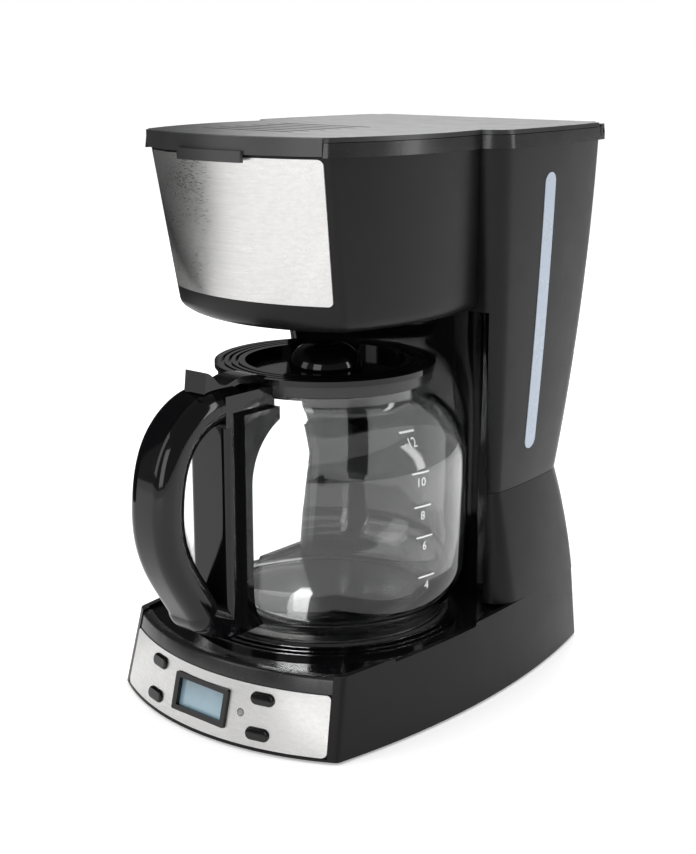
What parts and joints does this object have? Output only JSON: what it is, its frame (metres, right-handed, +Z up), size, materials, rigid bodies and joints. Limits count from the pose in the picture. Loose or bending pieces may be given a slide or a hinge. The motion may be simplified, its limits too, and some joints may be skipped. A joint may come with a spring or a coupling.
{
  "type": "drip coffee maker",
  "caption": "Upright drip coffee maker with a glass carafe on a round hot plate, a hinged top lid over the filter basket, a rear water tank with a side level gauge and a timer panel.",
  "frame": {"origin": "on the table under the middle of the machine's outline, carafe handle included", "axes": "+X to the machine's right seen from the front, where the level gauge is; +Y to the back; +Z up; the carafe comes out towards -Y"},
  "size_m": [0.1834, 0.2826, 0.31],
  "materials": {
    "housing_black": "satin black moulded housing, semi-gloss",
    "gloss_black": "high-gloss black",
    "lid_grey": "soft satin dark grey",
    "bezel_grey": "satin dark grey",
    "brushed_panel": "brushed stainless, horizontal grain",
    "clear_glass": "clear heat-resistant glass",
    "gauge_clear": "translucent pale blue-grey",
    "screen": "clear window over a blue-grey liquid crystal",
    "lens": "clear lamp lens, unlit",
    "plate_coating": "black non-stick coating",
    "steel": "plain steel",
    "aluminium": "bare aluminium",
    "silicone": "translucent silicone rubber",
    "black_rubber": "black rubber",
    "inner_plastic": "matt black inner plastic",
    "filter_plastic": "dark smoke plastic",
    "board": "green circuit board",
    "spring_steel": "bright spring wire"
  },
  "bodies": {
    "base": {"base_housing": "housing_black", "bottom_plate": "inner_plastic", "rubber_feet": "black_rubber", "bottom_screws": "steel", "cord_gland": "black_rubber", "control_panel": "brushed_panel", "front_bezel": "bezel_grey", "display_frame": "gloss_black", "display_window": "screen", "display_module": "inner_plastic", "indicator_lens": "lens", "button_switches": "inner_plastic", "clock_board": "board", "deck_plate": "gloss_black", "plate_seal": "black_rubber", "hot_plate": "plate_coating", "heating_element": "aluminium", "water_tube": "aluminium", "element_bracket": "steel", "bracket_screw": "steel", "thermostat": "steel", "thermal_fuses": "steel", "power_board": "board", "column_front": "gloss_black", "tank_housing": "housing_black", "water_gauge": "gauge_clear", "cold_water_hose": "silicone", "hot_water_hose": "silicone", "riser_pipe": "inner_plastic", "riser_grommet": "silicone", "check_valve": "inner_plastic", "hose_clips": "spring_steel", "brew_housing": "housing_black", "head_panel": "brushed_panel", "top_rim": "bezel_grey", "lid_hinge_pins": "steel"},
    "lid": {"lid": "lid_grey", "lid_water_channel": "inner_plastic", "shower_head": "inner_plastic"},
    "filter_basket": {"filter_basket": "inner_plastic", "permanent_filter": "filter_plastic", "valve_spring": "spring_steel"},
    "drip_valve": {"drip_valve": "inner_plastic", "valve_seal": "silicone"},
    "carafe": {"carafe_glass": "clear_glass", "carafe_collar": "bezel_grey", "carafe_handle": "gloss_black", "handle_grip": "gloss_black", "carafe_lid_pin": "steel"},
    "carafe_lid": {"carafe_lid": "gloss_black", "drip_dome": "gloss_black"},
    "hour_button": {"hour_button": "gloss_black"},
    "minute_button": {"minute_button": "gloss_black"},
    "program_button": {"program_button": "gloss_black"},
    "power_button": {"power_button": "gloss_black"}
  },
  "joints": [
    {"name": "lid_hinge", "type": "hinge", "parent": "base", "child": "lid", "pos_m": [0, 0.1375, 0.3052], "axis": [-1, 0, 0], "range_deg": [0, 95]},
    {"name": "carafe_slide", "type": "slide", "parent": "base", "child": "carafe", "axis": [0, -1, 0], "range_m": [0, 0.19]},
    {"name": "carafe_lid_hinge", "type": "hinge", "parent": "carafe", "child": "carafe_lid", "pos_m": [0, -0.07, 0.179], "axis": [1, 0, 0], "range_deg": [0, 6]},
    {"name": "basket_lift", "type": "slide", "parent": "base", "child": "filter_basket", "axis": [0, 0, 1], "range_m": [0, 0.012]},
    {"name": "drip_valve_lift", "type": "slide", "parent": "filter_basket", "child": "drip_valve", "axis": [0, 0, 1], "range_m": [0, 0.004], "stiffness_N_per_m": 200, "springref_m": -0.002, "deforming": ["valve_spring"]},
    {"name": "hour_press", "type": "slide", "parent": "base", "child": "hour_button", "axis": [0.245, 0.9387, -0.2425], "range_m": [0, 0.001], "stiffness_N_per_m": 400, "springref_m": -0.0005},
    {"name": "minute_press", "type": "slide", "parent": "base", "child": "minute_button", "axis": [0.2407, 0.9398, -0.2425], "range_m": [0, 0.001], "stiffness_N_per_m": 400, "springref_m": -0.0005},
    {"name": "program_press", "type": "slide", "parent": "base", "child": "program_button", "axis": [-0.245, 0.9387, -0.2425], "range_m": [0, 0.001], "stiffness_N_per_m": 400, "springref_m": -0.0005},
    {"name": "power_press", "type": "slide", "parent": "base", "child": "power_button", "axis": [-0.2407, 0.9398, -0.2425], "range_m": [0, 0.001], "stiffness_N_per_m": 400, "springref_m": -0.0005}
  ]
}
